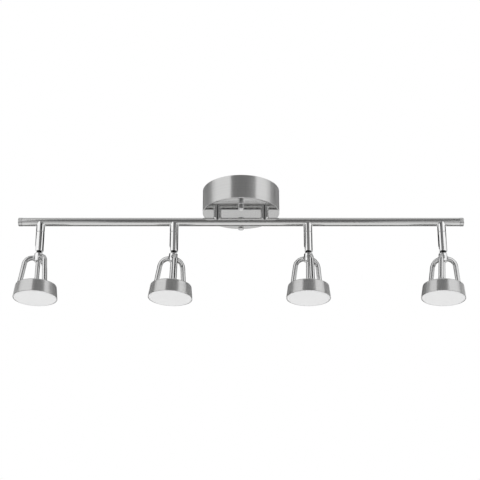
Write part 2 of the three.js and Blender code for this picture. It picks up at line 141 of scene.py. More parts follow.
def rounded(corners, closed=False, steps=7, rest=0.12 * MM):
    """A path of [across, along] through the corners (across, along, radius).

    Each corner with a radius is an arc that both its sides touch. Its centre is on the bisector, at
    radius / sin(half angle) from the corner. One more point, a rest away on each side, keeps the shading
    of the flats flat.
    """
    points = np.array([corner[:2] for corner in corners], dtype=float)
    count = len(points)
    path = []
    for i, (point, radius) in enumerate(zip(points, (corner[2] for corner in corners))):
        if radius == 0 or (not closed and i in (0, count - 1)):
            path.append(point[None])
            continue
        back = unit(points[i - 1] - point)
        on = unit(points[(i + 1) % count] - point)
        half = np.arccos(np.clip(back @ on, -1, 1)) / 2
        centre = point + unit(back + on) * radius / sin(half)
        start = point + back * radius / np.tan(half)
        end = point + on * radius / np.tan(half)
        sweep = pi - 2 * half
        share = np.linspace(0, 1, steps + 1)[:, None]
        first = np.sin((1 - share) * sweep) * (start - centre)
        second = np.sin(share * sweep) * (end - centre)
        arc = centre + (first + second) / np.sin(sweep)
        path.append(np.vstack([start + back * rest, arc, end + on * rest]))
    return np.vstack(path)


def revolve(path, sides):
    """Points of a path [radius, height] carried round Z: x = r cos a, y = r sin a, z = height."""
    angle = np.arange(sides) * 2 * pi / sides
    radius, height = path[:, 0, None], path[:, 1, None]
    return np.stack([radius * np.cos(angle), radius * np.sin(angle), height + 0 * angle], axis=-1)


def grid_faces(rows, columns, closed_rows, closed_columns):
    """Corner numbers of the quads of a grid of points, and each corner's row and column."""
    down = np.arange(rows if closed_rows else rows - 1)
    along = np.arange(columns if closed_columns else columns - 1)
    row, column = (part.ravel() for part in np.meshgrid(down, along, indexing="ij"))
    corner_rows = np.stack([row, row + 1, row + 1, row], axis=1)
    corner_columns = np.stack([column, column, column + 1, column + 1], axis=1)
    corners = (corner_rows % rows) * columns + corner_columns % columns
    return corners, corner_rows, corner_columns


def skin(name, grids, body, stands_for, material, closed_rows=False):
    """Makes one mesh of grids of points [row, column, xyz], merged where they meet, that rides on a body.

    The UV map holds metres: u round the middle row, v along the first column.
    """
    points, faces, uvs = [], [], []
    for grid in grids:
        rows, columns = grid.shape[:2]
        corners, corner_rows, corner_columns = grid_faces(rows, columns, closed_rows, True)
        step = np.linalg.norm(np.diff(grid[:, 0], axis=0, append=grid[:1, 0]), axis=1)
        along = np.concatenate([[0], np.cumsum(step)])
        middle = grid[rows // 2]
        around = np.linalg.norm(np.diff(middle, axis=0, append=middle[:1]), axis=1).mean()
        faces.append(corners + sum(len(part) for part in points))
        uvs.append(np.stack([corner_columns * around, along[corner_rows]], axis=-1).reshape(-1, 2))
        points.append(grid.reshape(-1, 3))
    mesh = bpy.data.meshes.new(name)
    mesh.from_pydata(np.vstack(points), [], np.vstack(faces))
    layer = mesh.uv_layers.new(name="surface")
    layer.data.foreach_set("uv", np.vstack(uvs).ravel())
    work = bmesh.new()
    work.from_mesh(mesh)
    bmesh.ops.remove_doubles(work, verts=work.verts, dist=MERGE_DISTANCE)
    bmesh.ops.recalc_face_normals(work, faces=work.faces)
    work.to_mesh(mesh)
    work.free()
    mesh.shade_smooth()
    mesh.set_sharp_from_angle(angle=SHARP_ANGLE)
    mesh.materials.append(material)
    piece = bpy.data.objects.new(name, mesh)
    bpy.context.collection.objects.link(piece)
    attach(piece, body)
    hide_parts(*stands_for)
    return piece


def along_x(points):
    """Turns a shape made round Z to lie round X, with its +Z end at +X."""
    return np.stack([points[..., 2], points[..., 1], -points[..., 0]], axis=-1)


def along_y(points):
    """Turns a shape made round Z to lie round Y."""
    return np.stack([points[..., 0], -points[..., 2], points[..., 1]], axis=-1)


def hung(points, number):
    """Takes a shape from a head's own frame, with its pivot at the origin, to where that head hangs."""
    tilt = REST_TILT[number]
    turned = np.stack([
        points[..., 0] * cos(tilt) + points[..., 2] * sin(tilt),
        points[..., 1],
        points[..., 2] * cos(tilt) - points[..., 0] * sin(tilt),
    ], axis=-1)
    return turned + np.array(JOINTS[f"tilt_{number}"]["pos_m"])


def turned_about_z(points, angle):
    """Turns a shape about the vertical axis, counterclockwise from above."""
    return np.stack([
        points[..., 0] * cos(angle) - points[..., 1] * sin(angle),
        points[..., 0] * sin(angle) + points[..., 1] * cos(angle),
        points[..., 2],
    ], axis=-1)


# ---- Materials -------------------------------------------------------------------------

FINE_SCRATCHES = 5200  # cells of the noise in a metre, across the brushing
BROAD_STREAKS = 620
FINE_RELIEF = 0.00005  # the depth that a bump stands for
WORN_ROUGHNESS = 0.16  # of an edge rubbed by hands and cloths


def new_material(name):
    """A material, its node tree and its shader."""
    material = bpy.data.materials.new(name)
    material.use_nodes = True
    return material, material.node_tree, material.node_tree.nodes["Principled BSDF"]


def node(tree, kind, values=None, **links):
    """Adds a node, sets its socket values and joins links to its sockets by name."""
    made = tree.nodes.new(kind)
    for key, value in (values or {}).items():
        made.inputs[key].default_value = value
    for key, source in links.items():
        tree.links.new(source, made.inputs[key.replace("_", " ")])
    return made


def ramp(tree, factor, *stops):
    """A colour ramp of greys: each stop is (place, value)."""
    made = tree.nodes.new("ShaderNodeValToRGB")
    tree.links.new(factor, made.inputs["Fac"])
    elements = made.color_ramp.elements
    while len(elements) < len(stops):
        elements.new(0.5)
    for element, (place, value) in zip(elements, stops):
        element.position = place
        element.color = (value, value, value, 1)
    return made.outputs["Color"]


def tinted(tree, grey, tint):
    """A grey from a ramp, multiplied by a colour."""
    mix = tree.nodes.new("ShaderNodeMix")
    mix.data_type = "RGBA"
    mix.blend_type = "MULTIPLY"
    mix.inputs["Factor"].default_value = 1
    tree.links.new(grey, mix.inputs["A"])
    mix.inputs["B"].default_value = (*tint, 1)
    return mix.outputs["Result"]


def coordinates(tree, scale):
    """Object coordinates, stretched by a scale."""
    texture = tree.nodes.new("ShaderNodeTexCoord")
    mapping = node(tree, "ShaderNodeMapping", {"Scale": scale}, Vector=texture.outputs["Object"])
    return mapping.outputs["Vector"]


def grain_around(tree, coarse, fine):
    """Coordinates for scratches round a turned piece: slow in x and y, fast along its profile."""
    texture = tree.nodes.new("ShaderNodeTexCoord")
    place = node(tree, "ShaderNodeSeparateXYZ", Vector=texture.outputs["Object"])
    unrolled = node(tree, "ShaderNodeSeparateXYZ", Vector=texture.outputs["UV"])

    def times(source, factor):
        """A socket's value times a number."""
        made = tree.nodes.new("ShaderNodeMath")
        made.operation = "MULTIPLY"
        tree.links.new(source, made.inputs[0])
        made.inputs[1].default_value = factor
        return made.outputs["Value"]

    joined = node(tree, "ShaderNodeCombineXYZ", X=times(place.outputs["X"], coarse),
                  Y=times(place.outputs["Y"], coarse), Z=times(unrolled.outputs["Y"], fine))
    return joined.outputs["Vector"]


def bumped(tree, shader, height, strength, distance=FINE_RELIEF):
    """Gives a shader the relief of a height from a texture."""
    bump = node(tree, "ShaderNodeBump", {"Strength": strength, "Distance": distance}, Height=height)
    tree.links.new(bump.outputs["Normal"], shader.inputs["Normal"])


def edge_wear(tree, low=0.505, high=0.56):
    """From 0 on flats to 1 on the sharpest corners that stand out."""
    geometry = tree.nodes.new("ShaderNodeNewGeometry")
    return ramp(tree, geometry.outputs["Pointiness"], (low, 0), (high, 1))


def noise(tree, vector, detail, roughness=0.6):
    """Noise from 0 to 1, one cell to each unit of its coordinates."""
    values = {"Scale": 1.0, "Detail": detail, "Roughness": roughness}
    return node(tree, "ShaderNodeTexNoise", values, Vector=vector).outputs["Fac"]


def mixed(tree, factor, first, second):
    """A blend of two numbers or greys."""
    mix = tree.nodes.new("ShaderNodeMix")
    mix.data_type = "FLOAT"
    tree.links.new(factor, mix.inputs["Factor"])
    for socket, source in (("A", first), ("B", second)):
        if isinstance(source, (int, float)):
            mix.inputs[socket].default_value = source
        else:
            tree.links.new(source, mix.inputs[socket])
    return mix.outputs["Result"]


def brushed_nickel(name, tint, around, roughness=0.3, relief=0.08, stretch=0.98):
    """Nickel with fine scratches one way, broader streaks, faint handling marks and bright edges."""
    material, tree, shader = new_material(name)
    if around:
        fine = noise(tree, grain_around(tree, 14, FINE_SCRATCHES), detail=5)
        streaks = noise(tree, grain_around(tree, 5, BROAD_STREAKS), detail=3)
    else:
        fine = noise(tree, coordinates(tree, (14, FINE_SCRATCHES, FINE_SCRATCHES)), detail=5)
        streaks = noise(tree, coordinates(tree, (4, BROAD_STREAKS, BROAD_STREAKS)), detail=3)
    marks = noise(tree, coordinates(tree, (26, 26, 26)), detail=6, roughness=0.7)
    grain = mixed(tree, streaks, fine, streaks)
    tone = tinted(tree, ramp(tree, grain, (0.25, 0.86), (0.75, 1.0)), tint)
    tree.links.new(tone, shader.inputs["Base Color"])
    worn = edge_wear(tree)
    spread = mixed(tree, marks, roughness - 0.06, roughness + 0.07)
    gloss = mixed(tree, fine, spread, roughness + 0.02)
    tree.links.new(mixed(tree, worn, gloss, WORN_ROUGHNESS), shader.inputs["Roughness"])
    bumped(tree, shader, grain, relief)
    shader.inputs["Metallic"].default_value = 1
    shader.inputs["Anisotropic"].default_value = stretch
    tangent = tree.nodes.new("ShaderNodeTangent")
    tangent.direction_type = "UV_MAP"
    tangent.uv_map = "surface"
    tree.links.new(tangent.outputs["Tangent"], shader.inputs["Tangent"])
    shader.inputs["Anisotropic Rotation"].default_value = 0.25 if around else 0.0
    return material


def polished_nickel(name, tint, clearest=0.045, dullest=0.11):
    """Plated and polished: a mirror with faint polishing lines, soft smears and a slight orange peel."""
    material, tree, shader = new_material(name)
    smears = noise(tree, coordinates(tree, (90, 90, 60)), detail=5, roughness=0.65)
    lines = noise(tree, coordinates(tree, (900, 900, 3200)), detail=3)
    peel = noise(tree, coordinates(tree, (420, 420, 420)), detail=1)
    tone = tinted(tree, ramp(tree, smears, (0.3, 0.93), (0.7, 1.0)), tint)
    tree.links.new(tone, shader.inputs["Base Color"])
    gloss = mixed(tree, smears, clearest, dullest)
    worn = edge_wear(tree, 0.51, 0.6)
    tree.links.new(mixed(tree, worn, gloss, WORN_ROUGHNESS), shader.inputs["Roughness"])
    bumped(tree, shader, mixed(tree, lines, peel, lines), 0.05)
    shader.inputs["Metallic"].default_value = 1
    return material


def dark_metal_painted_as_shade(name, tint):
    """Painted shade: nearly black, with greyer sharp edges, dull patches and a fine turned grain."""
    material, tree, shader = new_material(name)
    patches = noise(tree, coordinates(tree, (300, 300, 300)), detail=5)
    turning = noise(tree, coordinates(tree, (120, 120, FINE_SCRATCHES)), detail=2)
    plain = ramp(tree, patches, (0.3, 0.6), (0.7, 1.0))
    tone = tinted(tree, mixed(tree, edge_wear(tree, 0.52, 0.62), plain, 3.2), tint)
    tree.links.new(tone, shader.inputs["Base Color"])
    tree.links.new(mixed(tree, patches, 0.3, 0.5), shader.inputs["Roughness"])
    bumped(tree, shader, turning, 0.1, 0.00004)
    shader.inputs["Metallic"].default_value = 1
    return material


def zinc_plate(name, tint):
    """Zinc plate on pressed steel: small spangles of slightly different grey, with dull patches."""
    material, tree, shader = new_material(name)
    place = coordinates(tree, (420, 420, 420))
    spangle = node(tree, "ShaderNodeTexVoronoi", {"Scale": 1.0}, Vector=place)
    grey = node(tree, "ShaderNodeRGBToBW", Color=spangle.outputs["Color"]).outputs["Val"]
    patches = noise(tree, coordinates(tree, (70, 70, 70)), detail=6)
    tone = tinted(tree, ramp(tree, mixed(tree, patches, grey, patches), (0.2, 0.82), (0.8, 1.0)), tint)
    tree.links.new(tone, shader.inputs["Base Color"])
    tree.links.new(mixed(tree, patches, 0.3, 0.52), shader.inputs["Roughness"])
    bumped(tree, shader, patches, 0.15, 0.0001)
    shader.inputs["Metallic"].default_value = 1
    return material


def moulded_plastic(name, tint, roughness=0.45):
    """Moulded plastic: a fine spark-eroded texture and a slow change of tone."""
    material, tree, shader = new_material(name)
    texture = noise(tree, coordinates(tree, (2600, 2600, 2600)), detail=2)
    slow = noise(tree, coordinates(tree, (40, 40, 40)), detail=4)
    tone = tinted(tree, ramp(tree, slow, (0.3, 0.95), (0.7, 1.0)), tint)
    tree.links.new(tone, shader.inputs["Base Color"])
    gloss = mixed(tree, texture, roughness - 0.06, roughness + 0.08)
    tree.links.new(gloss, shader.inputs["Roughness"])
    bumped(tree, shader, texture, 0.2)
    return material


def opal_acrylic(name, tint):
    """Opal sheet: milky, with light scattered a little way inside, a satin face and faint flow marks."""
    material, tree, shader = new_material(name)
    flow = noise(tree, coordinates(tree, (30, 30, 30)), detail=3)
    texture = noise(tree, coordinates(tree, (3000, 3000, 3000)), detail=2)
    tone = tinted(tree, ramp(tree, flow, (0.3, 0.985), (0.7, 1.0)), tint)
    tree.links.new(tone, shader.inputs["Base Color"])
    tree.links.new(mixed(tree, texture, 0.3, 0.42), shader.inputs["Roughness"])
    bumped(tree, shader, texture, 0.08, 0.00003)
    shader.inputs["Subsurface Weight"].default_value = 0.25
    shader.inputs["Subsurface Radius"].default_value = (0.004, 0.004, 0.004)
    shader.inputs["Subsurface Scale"].default_value = 0.4
    shader.inputs["IOR"].default_value = 1.49
    return material


NICKEL = (0.735, 0.735, 0.73)
NICKEL_AROUND = brushed_nickel("nickel brushed round", NICKEL, around=True)
NICKEL_ALONG = brushed_nickel(
    "nickel brushed lengthwise", NICKEL, around=False, roughness=0.15, relief=0.03, stretch=0.6)
NICKEL_FACE = brushed_nickel(
    "nickel buffed flat", NICKEL, around=True, roughness=0.1, relief=0.02, stretch=0.2)
CHROME = polished_nickel("polished nickel", (0.86, 0.86, 0.86))
SATIN = polished_nickel("satin nickel", (0.68, 0.68, 0.68), clearest=0.14, dullest=0.26)
# Painted shade: the knuckles are coloured nearly black for the shade on the neck inside the sleeve's bore.
PAINTED_SHADE_METAL = dark_metal_painted_as_shade("metal darkened as painted shade", (0.05, 0.05, 0.05))
ZINC = zinc_plate("zinc plate", (0.66, 0.67, 0.68))
WHITE_PLASTIC = moulded_plastic("white moulded plastic", (0.82, 0.82, 0.80))
IVORY_PLASTIC = moulded_plastic("ivory moulded plastic", (0.72, 0.69, 0.60), 0.4)
BOARD = moulded_plastic("white solder mask", (0.85, 0.86, 0.84), 0.35)
OPAL = opal_acrylic("opal acrylic", (0.86, 0.86, 0.86))


# ---- Canopy, bar and posts -------------------------------------------------------------

def turned(name, corners, body, stands_for, material, finish,
           closed=False, sides=96, place=(0, 0, 0), lay=None):
    """A turned piece: a rounded profile carried round an axis, then laid and moved."""
    points = revolve(rounded(corners, closed), sides)
    if lay:
        points = lay(points)
    grid = points + np.array(place)
    return skin(name, [grid], body, stands_for, material, closed_rows=closed)


def make_canopy():
    """A round cup, brushed round its wall and buffed on its face."""
    inner = CANOPY_RADIUS - CANOPY_WALL
    floor = CANOPY_FLOOR + CANOPY_WALL
    corners = [
        (0, CANOPY_FLOOR, 0),
        (CANOPY_RADIUS, CANOPY_FLOOR, CANOPY_EDGE),
        (CANOPY_RADIUS, 0, CANOPY_LIP),
        (inner, 0, CANOPY_LIP),
        (inner, floor, 0.5 * MM),
        (0, floor, 0),
    ]
    cup = turned("canopy_cup", corners, "ceiling_part", ["canopy"], NICKEL_AROUND, "brushed_nickel",
                 sides=224)
    cup.data.materials.append(NICKEL_FACE)
    centres = np.empty(len(cup.data.polygons) * 3)
    cup.data.polygons.foreach_get("center", centres)
    on_face = centres[2::3] < CANOPY_FLOOR + 0.1 * MM
    cup.data.polygons.foreach_set("material_index", on_face.astype(np.int32))


def make_cap_nut(side):
    """A round nut with a rounded end and a thin flange against the canopy."""
    low, high = (np.array(corner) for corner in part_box(f"{side}_cap_nut"))
    radius = (high[0] - low[0]) / 2
    top = CANOPY_FLOOR
    corners = [
        (0, low[2], 0),
        (radius, low[2], 1.1 * MM),
        (radius, top - 1.4 * MM, 0.15 * MM),
        (radius + CAP_NUT_FLANGE, top - 1.1 * MM, 0.15 * MM),
        (radius + CAP_NUT_FLANGE, top, 0),
        (0, top, 0),
    ]
    place = (0, (low[1] + high[1]) / 2, 0)
    turned(f"{side}_dome_nut", corners, "ceiling_part", [f"{side}_cap_nut"], CHROME, "polished_nickel",
           place=place, sides=64)


def make_bar():
    """The round tube along X, open at both ends."""
    end = BAR_HIGH[0]
    bore = BAR_RADIUS - BAR_WALL
    corners = [
        (bore, -end, 0.15 * MM),
        (BAR_RADIUS, -end, 0.25 * MM),
        (BAR_RADIUS, end, 0.25 * MM),
        (bore, end, 0.15 * MM),
    ]
    turned("bar_tube", corners, "ceiling_part", ["track_bar"], NICKEL_ALONG, "brushed_nickel", closed=True,
           place=(0, 0, BAR_AXIS), lay=along_x)


def make_bar_cap(side, toward):
    """A turned cap whose flange shows past the end of the tube. toward is -1 or 1."""
    low, high = (np.array(corner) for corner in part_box(f"{side}_end_cap"))
    outer = max(abs(low[0]), abs(high[0]))
    inner = BAR_HIGH[0] + BAR_CAP_GAP
    flange = (high[2] - low[2]) / 2
    plug = BAR_RADIUS - BAR_WALL - BAR_CAP_PLAY
    corners = [
        (0, inner - BAR_CAP_PLUG, 0),
        (plug, inner - BAR_CAP_PLUG, 0.5 * MM),
        (plug, inner, 0),
        (flange, inner, 0.2 * MM),
        (flange, outer - 0.6 * MM, 1.2 * MM),
        (flange * 0.55, outer, 3 * MM),
        (0, outer, 0),
    ]

    def lay(points):
        """Lays the cap along X, mirrored for the left end."""
        laid = along_x(points)
        return laid * np.array([toward, 1, 1])

    turned(f"{side}_bar_cap", corners, "ceiling_part", [f"{side}_end_cap"], NICKEL_AROUND, "brushed_nickel",
           place=(0, 0, BAR_AXIS), lay=lay)


def saddle_grid(radius, toward, fillet, end_path, sides=96, rows=22):
    """A round stem with a saddle on the bar, then a path [radius, height] that closes its other end.

    Heights count from the bar's axis, and toward is 1 for a stem above the bar and -1 for one below it.
    The saddle's edge is where a cylinder round Z meets the bar: z = sqrt(bar radius squared - y squared),
    softened at the front and back. The stem widens along the bar only, by a quarter round of the
    fillet's radius.
    """
    angle = np.arange(sides) * 2 * pi / sides
    side = np.maximum(BAR_RADIUS**2 - (radius * np.sin(angle))**2, 0)
    edge = np.sqrt(side + SADDLE_SOFTNESS**2) - SADDLE_SINK
    end = end_path[0, 1]
    share = np.linspace(0, 1, rows)[:, None] ** 2
    fall = share * (end - edge)
    inside = np.clip(fillet - fall, 0, fillet)
    widening = fillet - np.sqrt(np.maximum(fillet**2 - inside**2, 0))
    x = (radius + widening) * np.cos(angle)
    y = radius * np.sin(angle) + 0 * fall
    body = np.stack([x, y, toward * (edge + fall)], axis=-1)
    centre = np.zeros((1, sides, 3))
    centre[..., 2] = toward * SADDLE_CORE
    closing = revolve(end_path[1:] * np.array([1, toward]), sides)
    return np.concatenate([centre, body, closing])


def make_post(side):
    """A turned post between the bar and the canopy, and its stud for a nut, drawn without the thread."""
    low, high = (np.array(corner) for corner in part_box(f"{side}_post"))
    top = CANOPY_FLOOR - BAR_AXIS
    thread = high[2] - BAR_AXIS
    path = rounded([
        (STEM_RADIUS, top - 0.4 * MM, 0),
        (STEM_RADIUS, top, 0.15 * MM),
        (POST_THREAD_RADIUS, top, 0),
        (POST_THREAD_RADIUS, thread, 0.4 * MM),
        (0, thread, 0),
    ])
    grid = saddle_grid(STEM_RADIUS, 1, POST_FILLET, path)
    place = np.array([(low[0] + high[0]) / 2, 0, BAR_AXIS])
    skin(f"{side}_turned_post", [grid + place], "ceiling_part", [f"{side}_post"], CHROME)


# ---- Stems -----------------------------------------------------------------------------

def make_collar(number):
    """The collar under the bar, with the spigot that its sleeve turns on."""
    node_name = f"stem_collar_{number}"
    place = np.array([JOINTS[f"turn_{number}"]["pos_m"][0], 0, BAR_AXIS])
    seam = BAR_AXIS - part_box(f"swivel_sleeve_{number}")[1][2] - SEAM_GAP
    path = rounded([
        (STEM_RADIUS, seam - 0.8 * MM, 0),
        (STEM_RADIUS, seam, 0.35 * MM),
        (SPIGOT_RADIUS, seam, 0),
        (SPIGOT_RADIUS, seam + SPIGOT_LENGTH, 0.3 * MM),
        (0, seam + SPIGOT_LENGTH, 0),
    ])
    grid = saddle_grid(STEM_RADIUS, -1, COLLAR_FILLET, path)
    skin(f"saddle_collar_{number}", [grid + place], "ceiling_part", [node_name], CHROME)


def make_sleeve(number):
    """A tube with a roof and one slot with a round end.

    The sheet is the outside. Above the pivot it goes all the way round, and its lower edge rises over
    the slot as z = pivot + sqrt(slot half width squared - y squared). Below the pivot it leaves the slot
    out. A wall is then given to it inwards, and its edges are softened.
    """
    low, high = (np.array(corner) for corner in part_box(f"swivel_sleeve_{number}"))
    pivot = JOINTS[f"tilt_{number}"]["pos_m"][2]
    slot_angle = np.arcsin(SLOT_HALF / STEM_RADIUS)
    solid = np.linspace(slot_angle - pi, pi - slot_angle, 73)
    slot = np.linspace(pi - slot_angle, pi + slot_angle, 17)[1:-1]
    angle = np.concatenate([solid, slot])
    across = np.minimum(np.abs(STEM_RADIUS * np.sin(angle)), SLOT_HALF)
    over_slot = np.arange(len(angle)) >= len(solid)
    edge = pivot + np.where(over_slot, np.sqrt(np.maximum(SLOT_HALF**2 - across**2, 0)), 0)
    roof = rounded([
        (SPIGOT_RADIUS + SPIGOT_PLAY, high[2], 0),
        (STEM_RADIUS, high[2], 0.35 * MM),
        (STEM_RADIUS, high[2] - SLEEVE_SHOULDER, 0),
    ])
    share = np.linspace(0, 1, 12)[1:, None]
    height = high[2] - SLEEVE_SHOULDER + share * (edge - high[2] + SLEEVE_SHOULDER)
    top = np.stack([roof[:, 0, None] * np.cos(angle), roof[:, 0, None] * np.sin(angle),
                    roof[:, 1, None] + 0 * angle], axis=-1)
    wall = np.stack([STEM_RADIUS * np.cos(angle) + 0 * height,
                     STEM_RADIUS * np.sin(angle) + 0 * height, height], axis=-1)
    drop = np.linspace(pivot, low[2], 8)[:, None]
    skirt = np.stack([STEM_RADIUS * np.cos(solid) + 0 * drop, STEM_RADIUS * np.sin(solid) + 0 * drop,
                      drop + 0 * solid], axis=-1)
    place = np.array([JOINTS[f"turn_{number}"]["pos_m"][0], 0, 0])
    name = f"slotted_sleeve_{number}"
    ring = np.concatenate([top, wall])
    piece = open_sheet(name, [(ring + place, True), (skirt + place, False)], place)
    thicken(piece, SLEEVE_WALL)
    finish_piece(piece, f"sleeve_{number}", [f"swivel_sleeve_{number}"], CHROME)


def open_sheet(name, grids, axis):
    """Merges grids [points, closed round] into one sheet whose faces look away from a vertical axis."""
    mesh = bpy.data.meshes.new(name)
    points, faces, uvs = [], [], []
    for grid, closed in grids:
        rows, columns = grid.shape[:2]
        corners, _, corner_columns = grid_faces(rows, columns, False, closed)
        faces.append(corners + sum(len(part) for part in points))
        place = grid.reshape(-1, 3)
        angle = 2 * pi * corner_columns / columns
        uvs.append(np.stack([angle * STEM_RADIUS, place[corners, 2]], axis=-1).reshape(-1, 2))
        points.append(place)
    points, faces = np.vstack(points), np.vstack(faces)
    middle = points[faces].mean(axis=1) - axis
    first, second, third = (points[faces[:, i]] for i in range(3))
    normal = np.cross(second - first, third - first)
    inwards = (normal[:, :2] * middle[:, :2]).sum() < 0
    if inwards:
        faces = faces[:, ::-1]
        uvs = [part.reshape(-1, 4, 2)[:, ::-1].reshape(-1, 2) for part in uvs]
    mesh.from_pydata(points, [], faces)
    layer = mesh.uv_layers.new(name="surface")
    layer.data.foreach_set("uv", np.vstack(uvs).ravel())
    work = bmesh.new()
    work.from_mesh(mesh)
    bmesh.ops.remove_doubles(work, verts=work.verts, dist=MERGE_DISTANCE)
    work.to_mesh(mesh)
    work.free()
    mesh.shade_smooth()
    piece = bpy.data.objects.new(name, mesh)
    bpy.context.collection.objects.link(piece)
    return piece


def thicken(piece, wall):
    """Gives a sheet a wall inwards and softens its edges."""
    solidify = piece.modifiers.new("wall", "SOLIDIFY")
    solidify.thickness = wall
    solidify.offset = -1
    solidify.use_even_offset = True
    bevel = piece.modifiers.new("softened edges", "BEVEL")
    bevel.width = SLEEVE_EDGE
    bevel.segments = 2
    bevel.limit_method = "ANGLE"
    bevel.angle_limit = SHARP_ANGLE


def finish_piece(piece, body, stands_for, material):
    """Gives a piece its material and its body, and hides the nodes it stands for."""
    piece.data.materials.append(material)
    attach(piece, body)
    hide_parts(*stands_for)


def make_pin(number):
    """The pivot pin, ground level with the sleeve."""
    half = STEM_RADIUS - PIN_INSET
    corners = [
        (0, -half, 0),
        (PIN_RADIUS, -half, 0.25 * MM),
        (PIN_RADIUS, half, 0.25 * MM),
        (0, half, 0),
    ]
    turned(f"cross_pin_{number}", corners, f"sleeve_{number}", [f"pivot_pin_{number}"], ZINC, "zinc_steel",
           sides=40, place=JOINTS[f"tilt_{number}"]["pos_m"], lay=along_y)


# ---- Heads -----------------------------------------------------------------------------

HUB_TOP = -HUB_DROP
HUB_BOTTOM = HUB_TOP - HUB_HEIGHT
ROOF = -HOUSING_DROP
RIM = ROOF - HOUSING_HEIGHT


def head_piece(name, number, corners, stands_for, material, closed=False, sides=72, lay=None):
    """A turned piece of a head, hung at the head's rest tilt."""
    points = revolve(rounded(corners, closed), sides)
    if lay:
        points = lay(points)
    return skin(f"{name}_{number}", [hung(points, number)], f"head_{number}",
                [f"{stands_for}_{number}"], material, closed_rows=closed)


def make_knuckle(number):
    """The eye on the pivot pin, and the neck from it down to the hub."""
    eye = [
        (0, -EYE_HALF, 0),
        (EYE_RADIUS, -EYE_HALF, 0.5 * MM),
        (EYE_RADIUS, EYE_HALF, 0.5 * MM),
        (0, EYE_HALF, 0),
    ]
    # The eye and the neck take the nearly black colour that paints the shade inside the sleeve's bore.
    head_piece("knuckle_eye", number, eye, "knuckle", PAINTED_SHADE_METAL, lay=along_y)
    foot = HUB_TOP - 0.5 * MM
    neck = [
        (0, 0, 0),
        (NECK_RADIUS * 0.8, 0, 0.6 * MM),
        (NECK_RADIUS, -3 * MM, 0.8 * MM),
        (NECK_RADIUS, foot, 0),
        (0, foot, 0),
    ]
    head_piece("knuckle_neck", number, neck, "knuckle", PAINTED_SHADE_METAL)


def make_hub(number):
    """The round hub that the legs are welded to."""
    hub = [
        (0, HUB_BOTTOM, 0),
        (HUB_RADIUS, HUB_BOTTOM, 1 * MM),
        (HUB_RADIUS, HUB_TOP, 1.1 * MM),
        (0, HUB_TOP, 0),
    ]
    head_piece("leg_hub", number, hub, "leg_cage", CHROME)


def leg_line():
    """Points [from the head's axis, height] of a leg's middle line, with the direction at each point.

    It leaves the hub level, follows an arc to its flare from upright, and ends in a straight run to its
    foot.
    """
    turn = pi / 2 - LEG_FLARE
    bend_end = np.array([0, -LEG_DROP - LEG_BEND * (1 - cos(turn))])
    bend_end[0] = LEG_FOOT_RADIUS - np.tan(LEG_FLARE) * (bend_end[1] - ROOF)
    bend_start = bend_end[0] - LEG_BEND * sin(turn)
    level = np.linspace(HUB_RADIUS - LEG_IN_HUB, bend_start, 8)[:-1]
    first = np.stack([level, np.full(len(level), -LEG_DROP)], axis=-1)
    angle = np.linspace(0, turn, 22)
    bend = np.stack([bend_start + LEG_BEND * np.sin(angle),
                     -LEG_DROP - LEG_BEND * (1 - np.cos(angle))], axis=-1)
    share = np.linspace(0, 1, 16)[1:, None]
    last = bend_end + share * (np.array([LEG_FOOT_RADIUS, ROOF]) - bend_end)
    line = np.vstack([first, bend, last])
    heading = np.concatenate([np.zeros(len(first)), angle, np.full(len(last), turn)])
    return line, np.stack([np.cos(heading), -np.sin(heading)], axis=-1)


def make_legs(number):
    """Three rounds carried along the leg's line: each ring is centre + a (cos b normal + sin b sideways).

    The radius swells by a small bead where the leg is welded to the hub and again at its foot, which is
    cut level with the roof.
    """
    line, heading = leg_line()
    around = np.arange(LEG_SIDES) * 2 * pi / LEG_SIDES
    bead = 0.7 * MM * np.exp(-(((line[:, 0] - HUB_RADIUS - 0.3 * MM) / (0.9 * MM)) ** 2))
    foot = 0.5 * MM * np.exp(-((line[:, 1] - ROOF) / (0.8 * MM)) ** 2)
    radius = (LEG_RADIUS + bead + foot)[:, None]
    out = line[:, 0, None] + radius * np.cos(around) * -heading[:, 1, None]
    up = line[:, 1, None] + radius * np.cos(around) * heading[:, 0, None]
    lift = (ROOF - 0.1 * MM - up[-1]) / heading[-1, 1]
    out[-1] += lift * heading[-1, 0]
    up[-1] += lift * heading[-1, 1]
    rings = np.stack([out, radius * np.sin(around) + 0 * out, up], axis=-1)
    start, end = (np.repeat(ring.mean(axis=1, keepdims=True), LEG_SIDES, axis=1)
                  for ring in (rings[:1], rings[-1:]))
    rings = np.concatenate([start, rings, end])
    for leg in range(3):
        place = turned_about_z(rings, radians(LEG_TURNS[number] + 120 * leg))
        skin(f"leg_{number}_{leg + 1}", [hung(place, number)], f"head_{number}",
             [f"leg_cage_{number}"], SATIN)


def make_wire_tube(number):
    """The rod from the hub to the roof, with a thinner end that goes through the roof."""
    low, seat, top = ROOF - WIRE_TUBE_END, ROOF - 0.05 * MM, HUB_BOTTOM + 1 * MM
    tube = [
        (0, low, 0),
        (WIRE_TUBE_END_RADIUS, low, 0),
        (WIRE_TUBE_END_RADIUS, seat, 0),
        (WIRE_TUBE_RADIUS, seat, 0.2 * MM),
        (WIRE_TUBE_RADIUS, top, 0),
        (0, top, 0),
    ]
    head_piece("wire_rod", number, tube, "wire_tube", SATIN)


def make_housing(number):
    """A shallow cup, wider at its rim, with a ledge inside the rim for the disc."""
    inside = ROOF - HOUSING_WALL
    pocket = HOUSING_RIM_RADIUS - RIM_WALL
    ledge = RIM + RIM_DEPTH
    corners = [
        (TUBE_HOLE, inside, 0),
        (TUBE_HOLE, ROOF, 0),
        (HOUSING_TOP_RADIUS, ROOF, HOUSING_SHOULDER),
        (HOUSING_RIM_RADIUS, RIM, 0.35 * MM),
        (pocket, RIM, 0.3 * MM),
        (pocket, ledge, 0),
        (pocket - RIM_LEDGE, ledge, 0.2 * MM),
        (HOUSING_TOP_RADIUS - HOUSING_WALL, inside, 2 * MM),
    ]
    head_piece("lamp_cup", number, corners, "lamp_housing", NICKEL_AROUND,
               closed=True, sides=160)


